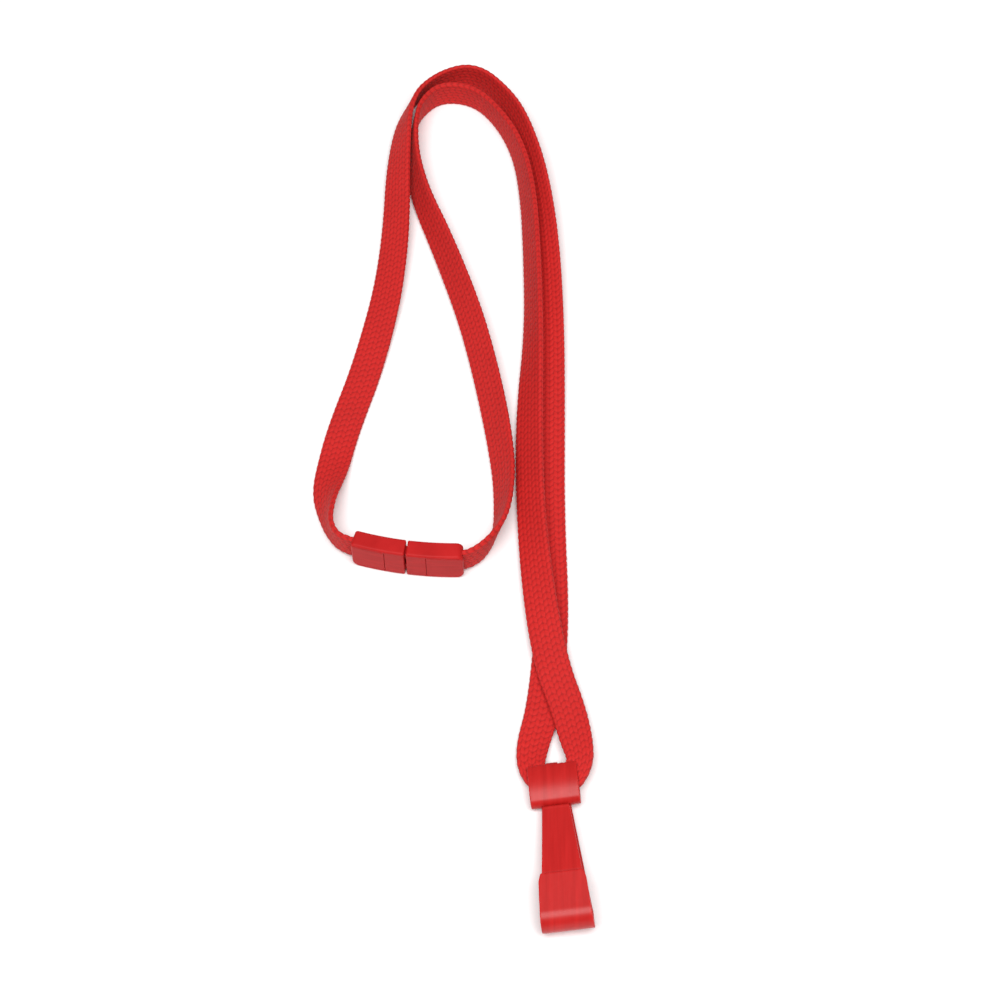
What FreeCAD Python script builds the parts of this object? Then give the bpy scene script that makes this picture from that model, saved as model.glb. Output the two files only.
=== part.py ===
"""A braided neck lanyard with a breakaway connector and a wide one-piece badge hook.

It lies folded on a table, at z = 0. Millimetres, +Z up. The hook points to -Y and the neck bend
is at +Y. The origin is on the table, under the middle of the box that the hook and the
connector fill together. Each piece is written to parts/ as a STEP file named after its node.
"""
import FreeCAD, Part
import os
from math import ceil, cos, degrees, radians, sin, sqrt, tan

Vector = FreeCAD.Vector
Rotation = FreeCAD.Rotation
Placement = FreeCAD.Placement

# Flat tubular braid, 3/8 inch wide
STRAP_WIDTH = 9.5
STRAP_THICKNESS = 1.6
STRAP_SECTION = STRAP_WIDTH * STRAP_THICKNESS
ARC_REACH = 0.45  # how much of the shorter run each arc takes
SECTION_STEP = 7.0  # longest piece between two sections of the strap
SECTION_TURN = 14.0  # most degrees that an arc turns between two sections

# The braid's way round the loop: x, y, height of its middle, roll and width.
# The roll turns the braid about its own line: 0 and 180 lie flat, 90 and 270 stand on an edge.
STRAP_ROUTE = [
    # from the plug half, round the lower left corner and up the left side
    (-26.0, 54.3, 6.0, 90, 9.5),
    (-30.1, 55.4, 6.0, 90, 9.5),
    (-34.4, 56.65, 6.0, 90, 9.5),
    (-38.3, 58.6, 5.8, 91, 9.5),
    (-40.9, 63.4, 5.4, 82, 9.5),
    (-41.9, 70.2, 4.6, 58, 9.5),
    (-42.2, 77.9, 2.8, 27, 9.5),
    (-40.6, 86.9, 1.2, 6, 9.5),
    (-39.0, 95.4, 0.9, 0, 9.5),
    (-36.4, 105.4, 0.9, 0, 9.5),
    (-32.8, 117.4, 0.9, 0, 9.5),
    (-29.3, 132.4, 1.2, 5, 9.5),
    (-25.9, 150.4, 2.2, 18, 9.5),
    (-24.0, 172.4, 3.2, 28, 9.5),
    (-23.9, 199.9, 5.6, 42, 9.5),
    # over the neck bend, outside, standing on its edge
    (-21.6, 220.9, 6.6, 69, 9.5),
    (-11.7, 231.7, 5.0, 90, 9.5),
    (0.9, 235.4, 4.9, 96, 9.5),
    (11.6, 222.9, 4.9, 108, 9.5),
    (16.5, 210.9, 4.8, 118, 9.5),
    # down the right side, underneath, to the hook
    (20.8, 192.4, 4.3, 130, 9.5),
    (23.3, 166.9, 3.2, 148, 9.5),
    (24.0, 136.4, 2.2, 162, 9.5),
    (23.5, 103.9, 1.2, 176, 9.5),
    (22.9, 70.4, 0.9, 180, 9.5),
    (23.8, 34.4, 0.9, 180, 9.5),
    (21.3, 8.4, 1.0, 180, 9.5),
    (17.4, -5.1, 1.9, 177, 8.8),
    # through the hook's eye, gathered narrower
    (17.4, -12.6, 3.0, 172, 6.8),
    (22.3, -17.4, 3.55, 179, 6.8),
    (28.1, -15.8, 4.35, 186, 6.8),
    (31.1, -9.9, 4.8, 186, 6.9),
    # up from the hook, over the strand below, leaning on it
    (29.8, -3.1, 4.1, 184, 9.0),
    (27.8, 6.4, 3.4, 181, 9.5),
    (23.3, 19.9, 3.7, 186, 9.5),
    (20.0, 40.9, 4.0, 202, 9.5),
    (17.6, 69.4, 4.6, 218, 9.5),
    (17.5, 102.9, 4.2, 217, 9.5),
    (19.2, 133.9, 5.0, 240, 9.5),
    (18.8, 162.9, 5.1, 243, 9.5),
    (17.8, 185.4, 5.1, 246, 9.5),
    # over the neck bend, inside, standing on its edge
    (14.8, 203.4, 5.0, 256, 9.5),
    (8.3, 216.9, 4.9, 267, 9.5),
    (0.3, 225.9, 4.9, 270, 9.5),
    (-10.7, 227.4, 4.9, 270, 9.5),
    # the sharp turn behind the left strand
    (-17.2, 220.4, 4.9, 274, 9.5),
    (-19.0, 212.9, 4.9, 280, 9.5),
    (-19.5, 204.4, 4.8, 287, 9.5),
    # down inside the loop and round the lower right corner to the socket half
    (-18.8, 195.4, 4.8, 294, 9.5),
    (-15.9, 182.9, 4.7, 301, 9.5),
    (-9.6, 166.9, 4.3, 311, 9.5),
    (-0.9, 140.9, 4.0, 317, 9.5),
    (3.8, 121.4, 3.9, 319, 9.5),
    (7.1, 104.4, 3.9, 319, 9.5),
    (9.0, 91.9, 4.0, 315, 9.5),
    (10.0, 81.9, 4.2, 309, 9.5),
    (9.9, 73.4, 4.6, 301, 9.5),
    (9.2, 66.0, 5.2, 291, 9.5),
    (7.2, 60.0, 5.7, 279, 9.5),
    (3.6, 54.8, 6.0, 270, 9.5),
    (-0.8, 52.0, 6.0, 270, 9.5),
    (-5.8, 51.9, 6.0, 270, 9.5),
    (-9.9, 52.1, 6.0, 270, 9.5),
]

# Breakaway connector: two bowed halves that part in the middle, standing on a long edge
CONNECTOR_PLACE = (-18.1, 52.9)
CONNECTOR_YAW = -8.0
CONNECTOR_HEIGHT = 12.0
CONNECTOR_DEPTH = 5.2
SOCKET_LENGTH = 16.5
PLUG_LENGTH = 15.6
BOW_RADIUS = 100.0
PARTING_GAP = 0.5
END_CORNER_RADIUS = 2.2
SHARP_CORNER_RADIUS = 0.9
RIM_ROUNDING = 0.7
PARTING_CHAMFER = 0.35
EDGE_SEARCH = 1.0  # an edge within this of a place is taken to be the one there
DEEP_SHARE = 0.8  # an edge longer than this share of the depth runs across it

# Crimping lid of each half: a panel let into the front face, hinged along its upper edge
LID_START = 6.0  # distance from the parting face
LID_RIM = 1.0
LID_THICKNESS = 1.3
LID_CLEARANCE = 0.12
TOOTH_HEIGHT = 0.3
TOOTH_WIDTH = 0.8
TOOTH_COUNT = 3
TOOTH_ROOT = 0.2  # how far the ribs run into the lid

# Pocket for the strap's end, open to the lid, and the snap between the halves
POCKET_START = 7.6
POCKET_HALF_DEPTH = 1.0
POCKET_HALF_HEIGHT = 4.95
SNAP_DEPTH = 2.9
SNAP_HEIGHT = 9.0
SNAP_REACH = 5.2
PRONG_REACH = 4.8
PRONG_HEIGHT = 2.8
PRONG_CLEARANCE = 0.1
PRONG_ROOT = 1.5  # how far the prongs run into the plug half
KEY_HEIGHT = 1.6
KEY_START = 1.5

# Badge hook, drawn with the eye's middle at its origin, +Y towards the strap, +Z to the front
HOOK_PLACE = (23.5, -16.2, 3.62)
HOOK_YAW = 4.8
HOOK_TIP = -7.0  # the hook lies on its left edge, tipped up to the right
EYE_LENGTH = 12.5
EYE_DEPTH = 5.5
EYE_WIDTH = 13.6
EYE_SHOULDER = (4.55, 2.0)  # where the crowned front meets the round ends
SLOT_LENGTH = 9.9
SLOT_DEPTH = 2.9
SLOT_CORNER = 1.1
YOKE_HALF_WIDTH = 1.6  # the wall that the strap bears on, cut back at both ends of the eye
HOOK_WALL = 1.6
BEND_CENTRE = 37.5  # distance from the eye's middle to the middle of the round bottom
BEND_RADIUS = 4.5
LIP_EDGE = 27.2
ARM_HALF_WIDTHS = (3.8, 7.4)  # at the eye and at the bottom
LIP_HALF_WIDTHS = (6.4, 7.1)
LIP_CORNER = (0.7, 2.2)  # how far the lip's upper corners are cut, across and along
EDGE_ROUNDING = 0.3

# Gate: the springy tongue that closes the hook, from the eye's foot to behind the lip
GATE_PIVOT = (-7.3, 0.95)
GATE_ROOT_RADIUS = 0.75
GATE_THICKNESS = 1.4
GATE_TIP = 30.7
GATE_LIP_GAP = 0.25
GATE_BEND = 1.0  # the tongue levels out this far before the lip's edge
GATE_HALF_WIDTHS = (3.65, 5.85)


def along(start, end, share):
    """The value at a share of the way from start to end."""
    return start + (end - start) * share


def face_of(edges):
    return Part.Face(Part.Wire(edges))


def polygon(points):
    return Part.makePolygon(list(points) + [points[0]])


# --- strap ---------------------------------------------------------------------------------


def tangent_path(points):
    """Straight runs joined by tangent arcs. Returns the edges, the radii, and the length along
    the path at which each point of the route is passed."""
    edges = []
    radii = []
    passed = [0.0]
    start = points[0]
    length = 0.0
    for before, corner, after in zip(points, points[1:], points[2:]):
        run_in = corner - before
        run_out = after - corner
        reach = ARC_REACH * min(run_in.Length, run_out.Length)
        turn = run_in.getAngle(run_out)
        run_in.normalize()
        run_out.normalize()
        radius = reach / tan(turn / 2)
        inward = run_out - run_in
        inward.normalize()
        arc_start = corner - run_in * reach
        arc_middle = corner + inward * (radius / cos(turn / 2) - radius)
        arc_end = corner + run_out * reach
        run = Part.LineSegment(start, arc_start).toShape()
        arc = Part.Arc(arc_start, arc_middle, arc_end).toShape()
        edges += [run, arc]
        radii.append(radius)
        passed.append(length + run.Length + arc.Length / 2)
        length += run.Length + arc.Length
        start = arc_end
    last = Part.LineSegment(start, points[-1]).toShape()
    edges.append(last)
    passed.append(length + last.Length)
    return edges, radii, passed


def interpolate(at, places, values):
    for low, high, value, following in zip(places, places[1:], values, values[1:]):
        if at <= high:
            return along(value, following, (at - low) / (high - low))
    return values[-1]


def strap_section(point, tangent, roll, width):
    """The braid's section as a rectangle. It keeps its area where the braid is gathered."""
    right = tangent.cross(Vector(0, 0, 1))
    right.normalize()
    upward = right.cross(tangent)
    angle = radians(roll)
    across = right * cos(angle) + upward * sin(angle)
    normal = upward * cos(angle) - right * sin(angle)
    half = across * (width / 2)
    thick = normal * (STRAP_SECTION / width / 2)
    return polygon([point - half - thick, point + half - thick,
                    point + half + thick, point - half + thick])


def make_strap():
    """One flat braid from the plug half, through the hook's eye, to the socket half."""
    points = [Vector(x, y, z) for x, y, z, _, _ in STRAP_ROUTE]
    rolls = [row[3] for row in STRAP_ROUTE]
    widths = [row[4] for row in STRAP_ROUTE]
    edges, radii, passed = tangent_path(points)
    path = Part.Wire(edges)
    sections = []
    length = 0.0
    for edge in edges:
        turned = 0.0
        if edge.Curve.TypeId == "Part::GeomCircle":
            turned = degrees(edge.Length / edge.Curve.Radius)
        pieces = max(1, ceil(edge.Length / SECTION_STEP), ceil(turned / SECTION_TURN))
        first, last = edge.ParameterRange
        for number in range(pieces):
            share = number / pieces
            parameter = along(first, last, share)
            at = length + edge.Length * share
            sections.append(strap_section(edge.valueAt(parameter), edge.tangentAt(parameter),
                                          interpolate(at, passed, rolls),
                                          interpolate(at, passed, widths)))
        length += edge.Length
    sections.append(strap_section(edge.valueAt(last), edge.tangentAt(last), rolls[-1], widths[-1]))
    strap = Part.makeLoft(sections, True, True)
    print("strap radii", [round(radius, 1) for radius in radii])
    print("strap path %.1f mm, volume %.0f mm3, section times length %.0f mm3"
          % (path.Length, strap.Volume, STRAP_SECTION * path.Length))
    return strap


# --- connector -----------------------------------------------------------------------------


def bowed_point(x, y):
    """A point at x along the bowed connector and y behind its middle surface."""
    angle = x / BOW_RADIUS
    reach = BOW_RADIUS - y
    return Vector(reach * sin(angle), BOW_RADIUS - reach * cos(angle), 0)


def bowed_block(x_range, y_range, z_range):
    """A block whose long faces follow the connector's bow."""
    x0, x1 = x_range
    y0, y1 = y_range
    middle = (x0 + x1) / 2
    front = Part.Arc(bowed_point(x0, y0), bowed_point(middle, y0), bowed_point(x1, y0))
    back = Part.Arc(bowed_point(x1, y1), bowed_point(middle, y1), bowed_point(x0, y1))
    outline = [front.toShape(),
               Part.LineSegment(bowed_point(x1, y0), bowed_point(x1, y1)).toShape(),
               back.toShape(),
               Part.LineSegment(bowed_point(x0, y1), bowed_point(x0, y0)).toShape()]
    block = face_of(outline).extrude(Vector(0, 0, z_range[1] - z_range[0]))
    block.translate(Vector(0, 0, z_range[0]))
    return block


def mirrored(shape):
    return shape.mirror(Vector(0, 0, 0), Vector(1, 0, 0))


def edges_near_x(shape, x, height_range, across_depth):
    """Edges near one x whose middle lies in a range of heights, running along or across the
    connector's depth."""
    found = []
    for edge in shape.Edges:
        box = edge.BoundBox
        deep = box.YLength > DEEP_SHARE * CONNECTOR_DEPTH
        middle = (box.ZMin + box.ZMax) / 2
        near = abs((box.XMin + box.XMax) / 2 - x) < EDGE_SEARCH
        if near and deep == across_depth and height_range[0] <= middle <= height_range[1]:
            found.append(edge)
    return found


def half_block(length, upper_corner_radius):
    """The outside of one half, with rounded far corners and softened edges."""
    half_depth = CONNECTOR_DEPTH / 2
    block = bowed_block((PARTING_GAP / 2, length), (-half_depth, half_depth),
                        (0, CONNECTOR_HEIGHT))
    low = edges_near_x(block, length, (-1, 1), True)
    block = block.makeFillet(END_CORNER_RADIUS, low)
    high = edges_near_x(block, length, (CONNECTOR_HEIGHT - 1, CONNECTOR_HEIGHT + 1), True)
    block = block.makeFillet(upper_corner_radius, high)
    parting = [edge for edge in block.Edges if edge.BoundBox.XMax < PARTING_GAP / 2 + 0.5]
    block = block.makeChamfer(PARTING_CHAMFER, parting)
    long_edges = [edge for edge in block.Edges
                  if edge.BoundBox.XLength > 0.5 * length and edge.BoundBox.ZLength < 0.1]
    return block.makeFillet(RIM_ROUNDING, long_edges)


def lid_block(clearance):
    """The lid's space in a half. The recess has clearance round the panel, the panel none."""
    half_depth = CONNECTOR_DEPTH / 2
    return bowed_block((LID_START - clearance, SOCKET_LENGTH + 1),
                       (-half_depth - 1, -half_depth + LID_THICKNESS + clearance),
                       (LID_RIM - clearance, CONNECTOR_HEIGHT - LID_RIM + clearance))


def make_lid(block):
    """A crimping lid: the front panel of a half, with ribs that bite the braid."""
    lid = block.common(lid_block(0.0))
    inside = -CONNECTOR_DEPTH / 2 + LID_THICKNESS
    spacing = (PLUG_LENGTH - POCKET_START) / (TOOTH_COUNT + 1)
    for number in range(TOOTH_COUNT):
        x = POCKET_START + spacing * (number + 1)
        profile = polygon([bowed_point(x - TOOTH_WIDTH / 2, inside - TOOTH_ROOT),
                           bowed_point(x + TOOTH_WIDTH / 2, inside - TOOTH_ROOT),
                           bowed_point(x, inside + TOOTH_HEIGHT)])
        rib = Part.Face(profile).extrude(Vector(0, 0, CONNECTOR_HEIGHT - 4 * LID_RIM))
        rib.translate(Vector(0, 0, 2 * LID_RIM))
        lid = lid.fuse(rib)
    return lid.removeSplitter()


def strap_pocket():
    middle = CONNECTOR_HEIGHT / 2
    half_depth = CONNECTOR_DEPTH / 2
    return bowed_block((POCKET_START, SOCKET_LENGTH + 1),
                       (-half_depth + LID_THICKNESS, POCKET_HALF_DEPTH),
                       (middle - POCKET_HALF_HEIGHT, middle + POCKET_HALF_HEIGHT))


def half_body(block):
    return block.cut(lid_block(LID_CLEARANCE)).cut(strap_pocket())


def make_socket_body(block):
    """The socket half: strap pocket at one end, the snap's mouth at the other, with a rib
    between the two prongs."""
    middle = CONNECTOR_HEIGHT / 2
    mouth = Part.makeBox(SNAP_REACH, SNAP_DEPTH, SNAP_HEIGHT,
                         Vector(0, -SNAP_DEPTH / 2, middle - SNAP_HEIGHT / 2))
    rib = Part.makeBox(SNAP_REACH, SNAP_DEPTH, KEY_HEIGHT,
                       Vector(KEY_START, -SNAP_DEPTH / 2, middle - KEY_HEIGHT / 2))
    return half_body(block).cut(mouth.cut(rib))


def make_plug_body(block):
    """The plug half, drawn to the right and then mirrored, with two round-ended prongs."""
    body = half_body(block)
    middle = CONNECTOR_HEIGHT / 2
    depth = SNAP_DEPTH / 2 - PRONG_CLEARANCE
    offset = SNAP_HEIGHT / 2 - PRONG_CLEARANCE - PRONG_HEIGHT
    tip = PRONG_REACH - PRONG_HEIGHT / 2
    for low in (middle + offset, middle - offset - PRONG_HEIGHT):
        prong = Part.makeBox(tip + PRONG_ROOT, 2 * depth, PRONG_HEIGHT, Vector(-tip, -depth, low))
        nose = Part.makeCylinder(PRONG_HEIGHT / 2, 2 * depth,
                                 Vector(-tip, -depth, low + PRONG_HEIGHT / 2), Vector(0, 1, 0))
        body = body.fuse(prong.fuse(nose))
    return mirrored(body.removeSplitter())


def place_connector(shape):
    shape.Placement = Placement(Vector(*CONNECTOR_PLACE, 0),
                                Rotation(Vector(0, 0, 1), CONNECTOR_YAW)).multiply(shape.Placement)
    return shape


# --- hook ----------------------------------------------------------------------------------


def side_profile(points_and_arcs, half_width):
    """A side view, as (y, z) points and arc middles, extruded across the hook's width."""
    edges = []
    start = points_and_arcs[0][-1]
    for step in points_and_arcs[1:]:
        end = step[-1]
        ends = [Vector(-half_width, *start), Vector(-half_width, *end)]
        if len(step) == 2:
            edges.append(Part.Arc(ends[0], Vector(-half_width, *step[0]), ends[1]).toShape())
        else:
            edges.append(Part.LineSegment(*ends).toShape())
        start = end
    return face_of(edges).extrude(Vector(2 * half_width, 0, 0))


def plan_outline(rows, z_range):
    """A symmetric outline from (half width, y) rows, extruded from one height to another."""
    right = [Vector(half, y, z_range[0]) for half, y in rows]
    left = [Vector(-half, y, z_range[0]) for half, y in reversed(rows)]
    face = Part.Face(polygon(right + left))
    return face.extrude(Vector(0, 0, z_range[1] - z_range[0]))


def make_eye():
    """The loop, crowned in front, that the strap runs through from side to side."""
    radius = EYE_DEPTH / 2
    reach = EYE_LENGTH / 2 - radius
    shoulder_y, shoulder_z = EYE_SHOULDER
    eye = side_profile([((reach, -radius),),
                        ((reach + radius, 0), (shoulder_y, shoulder_z)),
                        ((0, radius), (-shoulder_y, shoulder_z)),
                        ((-reach - radius, 0), (-reach, -radius)),
                        ((reach, -radius),)], EYE_WIDTH / 2)
    slot = Part.makeBox(EYE_WIDTH + 2, SLOT_LENGTH, SLOT_DEPTH,
                        Vector(-EYE_WIDTH / 2 - 1, -SLOT_LENGTH / 2, -SLOT_DEPTH / 2))
    corners = [edge for edge in slot.Edges if edge.BoundBox.XLength > EYE_WIDTH]
    eye = eye.cut(slot.makeFillet(SLOT_CORNER, corners))
    for side in (-1, 1):
        start = YOKE_HALF_WIDTH if side > 0 else -EYE_WIDTH
        relief = Part.makeBox(EYE_WIDTH - YOKE_HALF_WIDTH if side < 0 else EYE_WIDTH,
                              EYE_LENGTH, SLOT_DEPTH,
                              Vector(start, SLOT_LENGTH / 2 - SLOT_CORNER, -SLOT_DEPTH / 2))
        eye = eye.cut(relief)
    return eye


def make_hook_body():
    """Eye, back arm, round bottom and front lip, moulded in one."""
    back = -EYE_DEPTH / 2
    bend_z = back + BEND_RADIUS
    inner = BEND_RADIUS - HOOK_WALL
    bottom = -BEND_CENTRE
    wide = EYE_WIDTH
    root = -EYE_LENGTH / 2 + HOOK_WALL
    arm = side_profile([((root, back),),
                        ((bottom, back),),
                        ((bottom, back + HOOK_WALL),),
                        ((root, back + HOOK_WALL),),
                        ((root, back),)], wide)
    bend = side_profile([((bottom, back),),
                         ((bottom - BEND_RADIUS, bend_z), (bottom, bend_z + BEND_RADIUS)),
                         ((-LIP_EDGE, bend_z + BEND_RADIUS),),
                         ((-LIP_EDGE, bend_z + inner),),
                         ((bottom, bend_z + inner),),
                         ((bottom - inner, bend_z), (bottom, bend_z - inner)),
                         ((bottom, back),)], wide)
    heights = (back - 1, bend_z + BEND_RADIUS + 1)
    floor_y = bottom - BEND_RADIUS - 1
    arm_plan = plan_outline([(ARM_HALF_WIDTHS[0], root + 1), (ARM_HALF_WIDTHS[1], floor_y)],
                            heights)
    lip_plan = plan_outline([(LIP_HALF_WIDTHS[0] - LIP_CORNER[0], -LIP_EDGE),
                             (LIP_HALF_WIDTHS[0], -LIP_EDGE - LIP_CORNER[1]),
                             (LIP_HALF_WIDTHS[1], floor_y)], heights)
    return make_eye().fuse([arm.common(arm_plan), bend.common(lip_plan)]).removeSplitter()


def make_hook_gate():
    """The tongue, rising from the eye's foot to behind the lip, with a round root."""
    root_y, root_z = GATE_PIVOT
    lip_inside = -EYE_DEPTH / 2 + 2 * BEND_RADIUS - HOOK_WALL
    tip_front = lip_inside - GATE_LIP_GAP
    rise = tip_front - GATE_THICKNESS / 2 - root_z
    run = -LIP_EDGE + GATE_BEND - root_y
    slope = rise / run
    half = GATE_THICKNESS / 2 * sqrt(1 + slope * slope)
    bent_y = -LIP_EDGE + GATE_BEND
    tip_y = -GATE_TIP
    middle = tip_front - GATE_THICKNESS / 2
    round_tip = GATE_THICKNESS / 2
    blade = side_profile([((root_y, root_z - half),),
                          ((bent_y, middle - round_tip),),
                          ((tip_y, middle - round_tip),),
                          ((tip_y - round_tip, middle), (tip_y, middle + round_tip)),
                          ((bent_y, middle + round_tip),),
                          ((root_y, root_z + half),),
                          ((root_y, root_z - half),)], EYE_WIDTH)
    root = Part.makeCylinder(GATE_ROOT_RADIUS, 2 * GATE_HALF_WIDTHS[0],
                             Vector(-GATE_HALF_WIDTHS[0], root_y, root_z), Vector(1, 0, 0))
    plan = plan_outline([(GATE_HALF_WIDTHS[0], root_y + 1), (GATE_HALF_WIDTHS[1], tip_y - 1)],
                        (root_z - EYE_DEPTH, tip_front + 1))
    return blade.common(plan).fuse(root).removeSplitter()


def place_hook(shape):
    turn = Rotation(Vector(0, 0, 1), HOOK_YAW).multiply(Rotation(Vector(0, 1, 0), HOOK_TIP))
    shape.Placement = Placement(Vector(*HOOK_PLACE), turn).multiply(shape.Placement)
    return shape


def soften(shape, radius):
    """Rounds every edge where the kernel can, and otherwise leaves the shape sharp."""
    try:
        rounded = shape.makeFillet(radius, shape.Edges)
    except Exception:
        return shape
    return rounded if rounded.isValid() and len(rounded.Solids) == 1 else shape


def main():
    os.makedirs("parts", exist_ok=True)
    socket_block = half_block(SOCKET_LENGTH, END_CORNER_RADIUS)
    plug_block = half_block(PLUG_LENGTH, SHARP_CORNER_RADIUS)
    pieces = {
        "strap": make_strap(),
        "socket_body": place_connector(make_socket_body(socket_block)),
        "socket_lid": place_connector(make_lid(socket_block)),
        "plug_body": place_connector(make_plug_body(plug_block)),
        "plug_lid": place_connector(mirrored(make_lid(plug_block))),
        "hook_body": place_hook(make_hook_body()),
        "hook_gate": place_hook(soften(make_hook_gate(), EDGE_ROUNDING)),
    }
    for name, shape in pieces.items():
        solid = shape.Solids[0]
        print("%-12s solids %d valid %s volume %.1f" % (name, len(shape.Solids), solid.isValid(),
                                                       solid.Volume))
        solid.exportStep("parts/%s.step" % name)
    rigid = [shape.BoundBox for name, shape in pieces.items() if name != "strap"]
    middle_x = (min(box.XMin for box in rigid) + max(box.XMax for box in rigid)) / 2
    middle_y = (min(box.YMin for box in rigid) + max(box.YMax for box in rigid)) / 2
    lowest = min(box.ZMin for box in rigid)
    print("hook and connector: middle %.2f, %.2f, lowest %.2f" % (middle_x, middle_y, lowest))


main()
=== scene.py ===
"""A red braided neck lanyard with a breakaway connector and a badge hook, on a pale floor.

Metres, in the CAD frame: the floor is z = 0 and the hook points to -Y.
"""
import math

import bpy
import numpy as np
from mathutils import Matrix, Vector


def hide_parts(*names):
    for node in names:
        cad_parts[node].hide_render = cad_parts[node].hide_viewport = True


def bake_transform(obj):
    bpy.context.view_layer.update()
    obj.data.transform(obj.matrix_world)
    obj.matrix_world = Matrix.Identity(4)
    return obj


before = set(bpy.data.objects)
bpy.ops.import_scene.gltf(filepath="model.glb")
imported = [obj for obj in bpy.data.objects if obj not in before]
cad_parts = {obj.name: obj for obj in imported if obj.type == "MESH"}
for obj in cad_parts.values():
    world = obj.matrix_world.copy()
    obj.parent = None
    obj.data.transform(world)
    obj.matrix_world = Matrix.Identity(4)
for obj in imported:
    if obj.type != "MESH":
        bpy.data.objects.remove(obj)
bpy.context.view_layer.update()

# The braid's way round the loop: x, y, height of its middle, roll in degrees, and width.
# Roll 0 and 180 lie flat, 90 and 270 stand on an edge.
STRAP_ROUTE = [
    # from the plug half, round the lower left corner and up the left side
    (-0.0260, 0.05430, 0.00600, 90, 0.0095),
    (-0.0301, 0.05540, 0.00600, 90, 0.0095),
    (-0.0344, 0.05665, 0.00600, 90, 0.0095),
    (-0.0383, 0.05860, 0.00580, 91, 0.0095),
    (-0.0409, 0.06340, 0.00540, 82, 0.0095),
    (-0.0419, 0.07020, 0.00460, 58, 0.0095),
    (-0.0422, 0.07790, 0.00280, 27, 0.0095),
    (-0.0406, 0.08690, 0.00120, 6, 0.0095),
    (-0.0390, 0.09540, 0.00090, 0, 0.0095),
    (-0.0364, 0.10540, 0.00090, 0, 0.0095),
    (-0.0328, 0.11740, 0.00090, 0, 0.0095),
    (-0.0293, 0.13240, 0.00120, 5, 0.0095),
    (-0.0259, 0.15040, 0.00220, 18, 0.0095),
    (-0.0240, 0.17240, 0.00320, 28, 0.0095),
    (-0.0239, 0.19990, 0.00560, 42, 0.0095),
    # over the neck bend, outside, standing on its edge
    (-0.0216, 0.22090, 0.00660, 69, 0.0095),
    (-0.0117, 0.23170, 0.00500, 90, 0.0095),
    (0.0009, 0.23540, 0.00490, 96, 0.0095),
    (0.0116, 0.22290, 0.00490, 108, 0.0095),
    (0.0165, 0.21090, 0.00480, 118, 0.0095),
    # down the right side, underneath, to the hook
    (0.0208, 0.19240, 0.00430, 130, 0.0095),
    (0.0233, 0.16690, 0.00320, 148, 0.0095),
    (0.0240, 0.13640, 0.00220, 162, 0.0095),
    (0.0235, 0.10390, 0.00120, 176, 0.0095),
    (0.0229, 0.07040, 0.00090, 180, 0.0095),
    (0.0238, 0.03440, 0.00090, 180, 0.0095),
    (0.0213, 0.00840, 0.00100, 180, 0.0095),
    (0.0174, -0.00510, 0.00190, 177, 0.0088),
    # through the hook's eye, gathered narrower
    (0.0174, -0.01260, 0.00300, 172, 0.0068),
    (0.0223, -0.01740, 0.00355, 179, 0.0068),
    (0.0281, -0.01580, 0.00435, 186, 0.0068),
    (0.0311, -0.00990, 0.00480, 186, 0.0069),
    # up from the hook, over the strand below, leaning on it
    (0.0298, -0.00310, 0.00410, 184, 0.0090),
    (0.0278, 0.00640, 0.00340, 181, 0.0095),
    (0.0233, 0.01990, 0.00370, 186, 0.0095),
    (0.0200, 0.04090, 0.00400, 202, 0.0095),
    (0.0176, 0.06940, 0.00460, 218, 0.0095),
    (0.0175, 0.10290, 0.00420, 217, 0.0095),
    (0.0192, 0.13390, 0.00500, 240, 0.0095),
    (0.0188, 0.16290, 0.00510, 243, 0.0095),
    (0.0178, 0.18540, 0.00510, 246, 0.0095),
    # over the neck bend, inside, standing on its edge
    (0.0148, 0.20340, 0.00500, 256, 0.0095),
    (0.0083, 0.21690, 0.00490, 267, 0.0095),
    (0.0003, 0.22590, 0.00490, 270, 0.0095),
    (-0.0107, 0.22740, 0.00490, 270, 0.0095),
    # the sharp turn behind the left strand
    (-0.0172, 0.22040, 0.00490, 274, 0.0095),
    (-0.0190, 0.21290, 0.00490, 280, 0.0095),
    (-0.0195, 0.20440, 0.00480, 287, 0.0095),
    # down inside the loop and round the lower right corner to the socket half
    (-0.0188, 0.19540, 0.00480, 294, 0.0095),
    (-0.0159, 0.18290, 0.00470, 301, 0.0095),
    (-0.0096, 0.16690, 0.00430, 311, 0.0095),
    (-0.0009, 0.14090, 0.00400, 317, 0.0095),
    (0.0038, 0.12140, 0.00390, 319, 0.0095),
    (0.0071, 0.10440, 0.00390, 319, 0.0095),
    (0.0090, 0.09190, 0.00400, 315, 0.0095),
    (0.0100, 0.08190, 0.00420, 309, 0.0095),
    (0.0099, 0.07340, 0.00460, 301, 0.0095),
    (0.0092, 0.06600, 0.00520, 291, 0.0095),
    (0.0072, 0.06000, 0.00570, 279, 0.0095),
    (0.0036, 0.05480, 0.00600, 270, 0.0095),
    (-0.0008, 0.05200, 0.00600, 270, 0.0095),
    (-0.0058, 0.05190, 0.00600, 270, 0.0095),
    (-0.0099, 0.05210, 0.00600, 270, 0.0095),
]
LINE_STEPS = 40  # points read from the spline in each of its spans

# Flat tubular braid: columns of V-shaped stitches all the way round it
BRAID_WIDTH = 0.0095
BRAID_THICKNESS = 0.00132
STITCH_COLUMNS = 8
SAMPLES_PER_COLUMN = 8
STITCH_PITCH = 0.00205
SAMPLES_PER_STITCH = 6
STITCH_HEIGHT = 0.0002
VALLEY_LEVEL = 0.35  # how high the yarn stays where two columns meet, as a share
CROWN_SHAPE = 0.7  # powers that round the yarn along and across: lower is flatter on top
LEG_SHAPE = 0.6
STITCH_SLANT = 0.9  # pitches that a stitch rises from the middle of its column to the edge
HALF_PITCH = 0.5
WIDTH_SCALE = 10  # keeps the widths exact beside the rolls in the companion spline

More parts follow.
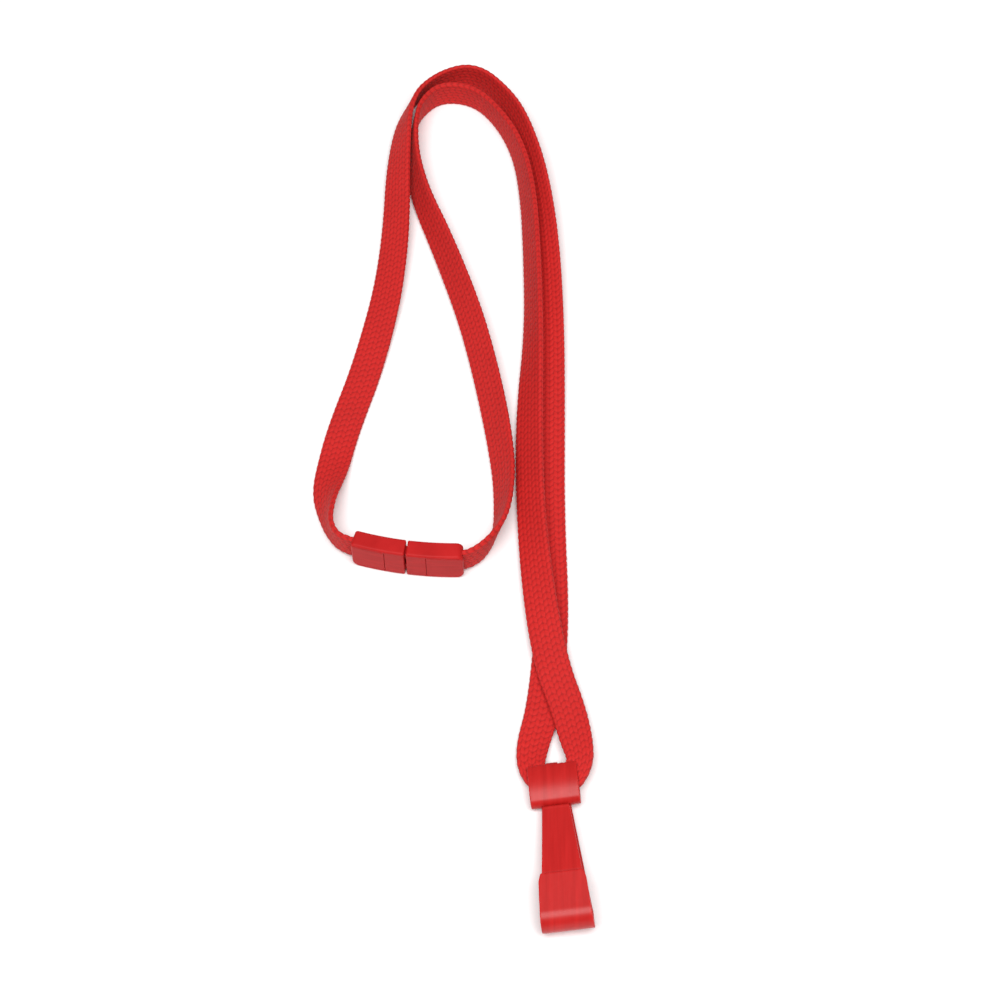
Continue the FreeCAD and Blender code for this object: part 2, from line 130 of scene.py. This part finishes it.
# The two pieces of the braid meet in the strand that runs under the crossing above the hook
SEAM_Y = 0.020
PULL_BLEND = ((0.0137, 0.0625, 0.0), (-0.0255, 0.0542, 0.0))
SWING_BLEND = ((0.0235, 0.0084, 0.0), (0.0235, -0.0096, 0.0))

CAMERA_PLACE = (0.0088, -0.24627, 0.55714)
CAMERA_TILT = 30.0
CAMERA_LENS = 78.417
CAMERA_CLIP_START = 0.01

# One large soft box over the front of the table, and an even pale surrounding
LIGHT_PLACE = (0.0, -0.40, 1.6)
LIGHT_AIM = (0.0, 0.09, 0.0)
LIGHT_SIZE = (1.6, 1.1)
LIGHT_ENERGY = 36.0
SURROUNDING = 0.22
FLOOR_HALF_WIDTH = 3.0

BRAID_RED = (0.66, 0.018, 0.016)
# Painted shade: the colour of the valleys between stitches, where the yarn shades itself
BRAID_VALLEY_SHADE = (0.34, 0.008, 0.008)
CONNECTOR_RED = (0.47, 0.009, 0.009)
HOOK_RED = (0.50, 0.011, 0.010)


# --- braid ---------------------------------------------------------------------------------


def spline_points(rows):
    """Points along the NURBS spline whose control points are the rows."""
    curve = bpy.data.curves.new("line", "CURVE")
    curve.dimensions = "3D"
    spline = curve.splines.new("NURBS")
    spline.points.add(len(rows) - 1)
    for point, row in zip(spline.points, rows):
        point.co = (*row, 1.0)
    spline.order_u = 3
    spline.use_endpoint_u = True
    spline.resolution_u = LINE_STEPS
    line = bpy.data.objects.new("line", curve)
    mesh = bpy.data.meshes.new_from_object(line)
    points = np.array([vertex.co for vertex in mesh.vertices], float)
    bpy.data.meshes.remove(mesh)
    bpy.data.objects.remove(line)
    bpy.data.curves.remove(curve)
    return points


def lengths_along(points):
    steps = np.linalg.norm(np.diff(points, axis=0), axis=1)
    return np.concatenate([[0.0], np.cumsum(steps)])


def sampled(places, at, values):
    """Each column of values, read at the places."""
    return np.column_stack([np.interp(places, at, column) for column in values.T])


def unit(vectors):
    return vectors / np.linalg.norm(vectors, axis=1, keepdims=True)


def frames(points, rolls):
    """The braid's direction across and its normal at each point."""
    tangent = unit(np.gradient(points, axis=0))
    right = unit(np.cross(tangent, (0.0, 0.0, 1.0)))
    upward = np.cross(right, tangent)
    cosine = np.cos(rolls)[:, None]
    sine = np.sin(rolls)[:, None]
    return right * cosine + upward * sine, upward * cosine - right * sine


def braid_section():
    """Places round the flat section, its outward normals, and how far round each one is, in
    columns. The edges are round."""
    radius = BRAID_THICKNESS / 2
    edge = math.pi * radius
    flat = BRAID_WIDTH / 2 - radius
    perimeter = 4 * flat + 2 * math.pi * radius
    places, normals, columns = [], [], []
    count = STITCH_COLUMNS * SAMPLES_PER_COLUMN
    for number in range(count):
        at = perimeter * number / count
        if at < 2 * flat:
            place, normal = (at - flat, radius), (0.0, 1.0)
        elif at < 2 * flat + edge:
            angle = math.pi / 2 - (at - 2 * flat) / radius
            normal = (math.cos(angle), math.sin(angle))
            place = (flat + radius * normal[0], radius * normal[1])
        elif at < 4 * flat + edge:
            place, normal = (flat - (at - 2 * flat - edge), -radius), (0.0, -1.0)
        else:
            angle = -math.pi / 2 - (at - 4 * flat - edge) / radius
            normal = (math.cos(angle), math.sin(angle))
            place = (-flat + radius * normal[0], radius * normal[1])
        places.append(place)
        normals.append(normal)
        columns.append(number / SAMPLES_PER_COLUMN)
    return np.array(places), np.array(normals), np.array(columns)


def stitch_relief(columns, lengths):
    """How high the yarn stands, from 0 in the valleys to 1, on a grid of length by column."""
    place = columns - np.floor(columns) - 0.5
    offset = (np.floor(columns) % 2) * HALF_PITCH
    phase = lengths[:, None] / STITCH_PITCH + offset + STITCH_SLANT * np.abs(place)
    crown = np.abs(np.sin(np.pi * phase)) ** CROWN_SHAPE
    leg = np.abs(np.sin(2 * np.pi * place)) ** LEG_SHAPE
    return crown * (VALLEY_LEVEL + (1 - VALLEY_LEVEL) * leg)


def make_braid(name, points, rolls, widths, lengths):
    """A closed tube that follows the points, with the stitches in its surface."""
    across, normal = frames(points, rolls)
    places, outward, columns = braid_section()
    relief = stitch_relief(columns, lengths)
    narrow = (widths / BRAID_WIDTH)[:, None]
    side = narrow * places[:, 0] + STITCH_HEIGHT * relief * outward[:, 0]
    rise = places[:, 1] / narrow + STITCH_HEIGHT * relief * outward[:, 1]
    grid = (points[:, None] + across[:, None] * side[..., None]
            + normal[:, None] * rise[..., None])
    rings, count = relief.shape
    index = np.arange(rings * count).reshape(rings, count)
    turned = np.roll(index, -1, axis=1)
    quads = np.stack([index[:-1], turned[:-1], turned[1:], index[1:]], axis=-1).reshape(-1, 4)
    faces = quads.tolist() + [index[0][::-1].tolist(), index[-1].tolist()]
    mesh = bpy.data.meshes.new(name)
    mesh.from_pydata(grid.reshape(-1, 3).tolist(), [], faces)
    for label, values in (("relief", relief.ravel()), ("round", np.tile(columns, rings)),
                          ("along", np.repeat(lengths, count))):
        attribute = mesh.attributes.new(label, "FLOAT", "POINT")
        attribute.data.foreach_set("value", values.astype(np.float32))
    mesh.polygons.foreach_set("use_smooth", [True] * len(mesh.polygons))
    piece = bpy.data.objects.new(name, mesh)
    bpy.context.scene.collection.objects.link(piece)
    piece.data.materials.append(BRAID)
    return piece


# --- materials -----------------------------------------------------------------------------


def new_material(name, roughness):
    material = bpy.data.materials.new(name)
    material.use_nodes = True
    shader = material.node_tree.nodes["Principled BSDF"]
    shader.inputs["Roughness"].default_value = roughness
    return material, material.node_tree, shader


def add(tree, kind, **settings):
    """A new node. Settings that are its inputs are set on the sockets."""
    node = tree.nodes.new(kind)
    for name, value in settings.items():
        if hasattr(node, name):
            setattr(node, name, value)
        else:
            node.inputs[name.replace("_", " ")].default_value = value
    return node


def stretched_noise(tree, vector, scale, detail=4.0, turn=0.0):
    mapping = add(tree, "ShaderNodeMapping")
    mapping.inputs["Scale"].default_value = scale
    mapping.inputs["Rotation"].default_value = (0.0, 0.0, turn)
    noise = add(tree, "ShaderNodeTexNoise", Scale=1.0, Detail=detail, Roughness=0.6)
    tree.links.new(vector, mapping.inputs["Vector"])
    tree.links.new(mapping.outputs["Vector"], noise.inputs["Vector"])
    return noise.outputs["Fac"]


def colour_ramp(tree, fac, low, high, start=0.0, end=1.0):
    ramp = add(tree, "ShaderNodeValToRGB")
    ramp.color_ramp.elements[0].position = start
    ramp.color_ramp.elements[0].color = (*low, 1.0)
    ramp.color_ramp.elements[1].position = end
    ramp.color_ramp.elements[1].color = (*high, 1.0)
    tree.links.new(fac, ramp.inputs["Fac"])
    return ramp.outputs["Color"]


def multiplied(tree, first, second):
    """Two colours multiplied."""
    mix = add(tree, "ShaderNodeMix", data_type="RGBA", blend_type="MULTIPLY")
    colours = [socket for socket in mix.inputs if socket.type == "RGBA"]
    mix.inputs["Factor"].default_value = 1.0
    tree.links.new(first, colours[0])
    tree.links.new(second, colours[1])
    return [socket for socket in mix.outputs if socket.type == "RGBA"][0]


def bump(tree, shader, heights):
    """Bump from (height, strength, distance) rows, one laid on the other."""
    normal = None
    for height, strength, distance in heights:
        node = add(tree, "ShaderNodeBump", Strength=strength, Distance=distance)
        tree.links.new(height, node.inputs["Height"])
        if normal is not None:
            tree.links.new(normal, node.inputs["Normal"])
        normal = node.outputs["Normal"]
    tree.links.new(normal, shader.inputs["Normal"])


def math_node(tree, operation, first, second):
    node = add(tree, "ShaderNodeMath", operation=operation)
    for socket, value in zip(node.inputs, (first, second)):
        if isinstance(value, (int, float)):
            socket.default_value = value
        else:
            tree.links.new(value, socket)
    return node.outputs["Value"]


def braid_material():
    """Twisted polyester yarn: valleys between stitches darkened with painted shade, fine
    filaments along each stitch, a soft sheen.
    """
    material, tree, shader = new_material("braid_red", 0.72)
    relief = add(tree, "ShaderNodeAttribute", attribute_name="relief").outputs["Fac"]
    column = add(tree, "ShaderNodeAttribute", attribute_name="round").outputs["Fac"]
    along = add(tree, "ShaderNodeAttribute", attribute_name="along").outputs["Fac"]
    inside = math_node(tree, "PINGPONG", column, 0.5)
    down = math_node(tree, "DIVIDE", along, STITCH_PITCH)
    slant = math_node(tree, "MULTIPLY", inside, STITCH_SLANT)
    slanted = math_node(tree, "SUBTRACT", down, slant)
    yarn = add(tree, "ShaderNodeCombineXYZ")
    for socket, value in zip(yarn.inputs, (column, slanted, inside)):
        tree.links.new(value, socket)
    filaments = stretched_noise(tree, yarn.outputs["Vector"], (2.2, 14.0, 3.0), 3.0)
    place = add(tree, "ShaderNodeTexCoord").outputs["Object"]
    patches = stretched_noise(tree, place, (90.0, 90.0, 90.0), 3.0)
    # Painted shade: the low parts of the stitch relief get the darker valley colour
    base = colour_ramp(tree, relief, BRAID_VALLEY_SHADE, BRAID_RED, 0.0, 0.55)
    fibre = colour_ramp(tree, filaments, (0.80, 0.80, 0.80), (1.0, 1.0, 1.0), 0.3, 0.7)
    tone = colour_ramp(tree, patches, (0.93, 0.93, 0.93), (1.0, 1.0, 1.0), 0.3, 0.7)
    colour = multiplied(tree, multiplied(tree, base, fibre), tone)
    tree.links.new(colour, shader.inputs["Base Color"])
    shader.inputs["Specular IOR Level"].default_value = 0.25
    shader.inputs["Sheen Weight"].default_value = 0.06
    shader.inputs["Sheen Roughness"].default_value = 0.45
    shader.inputs["Sheen Tint"].default_value = (1.0, 0.45, 0.4, 1.0)
    bump(tree, shader, [(filaments, 0.35, 0.00006)])
    return material


def plastic_material(name, red, roughness, gloss, grain, streak, streak_turn):
    """Moulded plastic: a fine skin, flow streaks along the part, edges lightened with painted
    highlight.
    """
    material, tree, shader = new_material(name, roughness)
    place = add(tree, "ShaderNodeTexCoord").outputs["Object"]
    skin = stretched_noise(tree, place, (grain, grain, grain), 4.0)
    flow = stretched_noise(tree, place, streak, 3.0, streak_turn)
    # Painted highlight: convex edges, found by pointiness, are made paler
    edge_highlight_mask = add(tree, "ShaderNodeNewGeometry").outputs["Pointiness"]
    light = tuple(min(1.0, value * 1.12 + 0.004) for value in red)
    dark = tuple(value * 0.86 for value in red)
    base = colour_ramp(tree, flow, dark, light, 0.25, 0.8)
    painted_edge_highlight = colour_ramp(tree, edge_highlight_mask, (1.0, 1.0, 1.0), (1.18, 1.35, 1.35), 0.5, 0.58)
    colour = multiplied(tree, base, painted_edge_highlight)
    tree.links.new(colour, shader.inputs["Base Color"])
    shader.inputs["Specular IOR Level"].default_value = gloss
    spread = math_node(tree, "MULTIPLY", skin, 0.16)
    rough = math_node(tree, "ADD", spread, roughness - 0.08)
    tree.links.new(rough, shader.inputs["Roughness"])
    bump(tree, shader, [(flow, 0.22, 0.00003), (skin, 0.08, 0.00001)])
    return material


def floor_material():
    material, tree, shader = new_material("floor_white", 0.9)
    place = add(tree, "ShaderNodeTexCoord").outputs["Object"]
    mottle = stretched_noise(tree, place, (6.0, 6.0, 6.0), 3.0)
    tree.links.new(colour_ramp(tree, mottle, (0.92, 0.92, 0.92), (0.95, 0.95, 0.95)),
                   shader.inputs["Base Color"])
    shader.inputs["Specular IOR Level"].default_value = 0.0
    return material


BRAID = braid_material()
CONNECTOR = plastic_material("connector_red", CONNECTOR_RED, 0.50, 0.16, 2500.0,
                             (120.0, 120.0, 900.0), math.radians(8.0))
HOOK = plastic_material("hook_red", HOOK_RED, 0.36, 0.30, 900.0,
                        (900.0, 45.0, 45.0), math.radians(-4.8))


# --- strap ---------------------------------------------------------------------------------


def make_strap():
    places = [row[:3] for row in STRAP_ROUTE]
    twists = [(math.radians(row[3]), row[4] * WIDTH_SCALE, 0.0) for row in STRAP_ROUTE]
    line = spline_points(places)
    twist = spline_points(twists)
    at = lengths_along(line)
    step = STITCH_PITCH / SAMPLES_PER_STITCH
    lengths = np.linspace(0.0, at[-1], round(at[-1] / step) + 1)
    points = sampled(lengths, at, line)
    turned = sampled(lengths, at, twist)
    eye = int(np.argmin(points[:, 1]))
    seam = int(np.flatnonzero(points[:eye, 1] > SEAM_Y)[-1])
    exits = (points[0], points[-1])
    blends = (("plug", PULL_BLEND), ("hook", SWING_BLEND))
    parts = (slice(0, seam + 1), slice(seam, len(points)))
    for name, part, exit_point, (far_body, blend) in zip(
            ("strap_left", "strap_right"), parts, exits, blends):
        piece = make_braid(name, points[part], turned[part, 0], turned[part, 1] / WIDTH_SCALE,
                           lengths[part])
        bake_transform(piece)
        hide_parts("strap")


make_strap()


# --- hook and connector --------------------------------------------------------------------

# Size of the skin's facets, smoothing passes and material of each moulded node
MOULDED = {
    "socket_body": (0.00013, 4, CONNECTOR),
    "plug_body": (0.00013, 4, CONNECTOR),
    "socket_lid": (0.0001, 2, CONNECTOR),
    "plug_lid": (0.0001, 2, CONNECTOR),
    "hook_body": (0.00017, 6, HOOK),
    "hook_gate": (0.00013, 4, HOOK),
}
SOFTENING = 0.5


def mould(node, voxel, passes, material):
    """Gives a CAD node the soft edges of a moulded part."""
    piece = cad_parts[node]
    remesh = piece.modifiers.new("skin", "REMESH")
    remesh.mode = "VOXEL"
    remesh.voxel_size = voxel
    remesh.use_smooth_shade = True
    smooth = piece.modifiers.new("soften", "SMOOTH")
    smooth.factor = SOFTENING
    smooth.iterations = passes
    piece.data.materials.clear()
    piece.data.materials.append(material)


for node, (voxel, passes, material) in MOULDED.items():
    mould(node, voxel, passes, material)


# --- floor, light and camera ---------------------------------------------------------------


def make_light():
    light = bpy.data.lights.new("overhead", "AREA")
    light.shape = "RECTANGLE"
    light.size, light.size_y = LIGHT_SIZE
    light.energy = LIGHT_ENERGY
    lamp = bpy.data.objects.new("overhead", light)
    lamp.location = LIGHT_PLACE
    beam = Vector(LIGHT_AIM) - Vector(LIGHT_PLACE)
    lamp.rotation_euler = beam.to_track_quat("-Z", "Y").to_euler()
    bpy.context.scene.collection.objects.link(lamp)


def make_floor():
    half = FLOOR_HALF_WIDTH
    mesh = bpy.data.meshes.new("floor")
    mesh.from_pydata([(-half, -half, 0), (half, -half, 0), (half, half, 0), (-half, half, 0)],
                     [], [(0, 1, 2, 3)])
    floor = bpy.data.objects.new("floor", mesh)
    floor.data.materials.append(floor_material())
    bpy.context.scene.collection.objects.link(floor)


make_floor()
make_light()

world = bpy.data.worlds.new("studio")
world.use_nodes = True
background = world.node_tree.nodes["Background"]
background.inputs["Color"].default_value = (1.0, 1.0, 1.0, 1.0)
background.inputs["Strength"].default_value = SURROUNDING
bpy.context.scene.world = world
bpy.context.scene.view_settings.view_transform = "Standard"

camera = bpy.data.objects.new("camera", bpy.data.cameras.new("camera"))
camera.data.lens = CAMERA_LENS
camera.data.clip_start = CAMERA_CLIP_START
camera.location = CAMERA_PLACE
camera.rotation_euler = (math.radians(CAMERA_TILT), 0.0, 0.0)
bpy.context.scene.collection.objects.link(camera)
bpy.context.scene.camera = camera
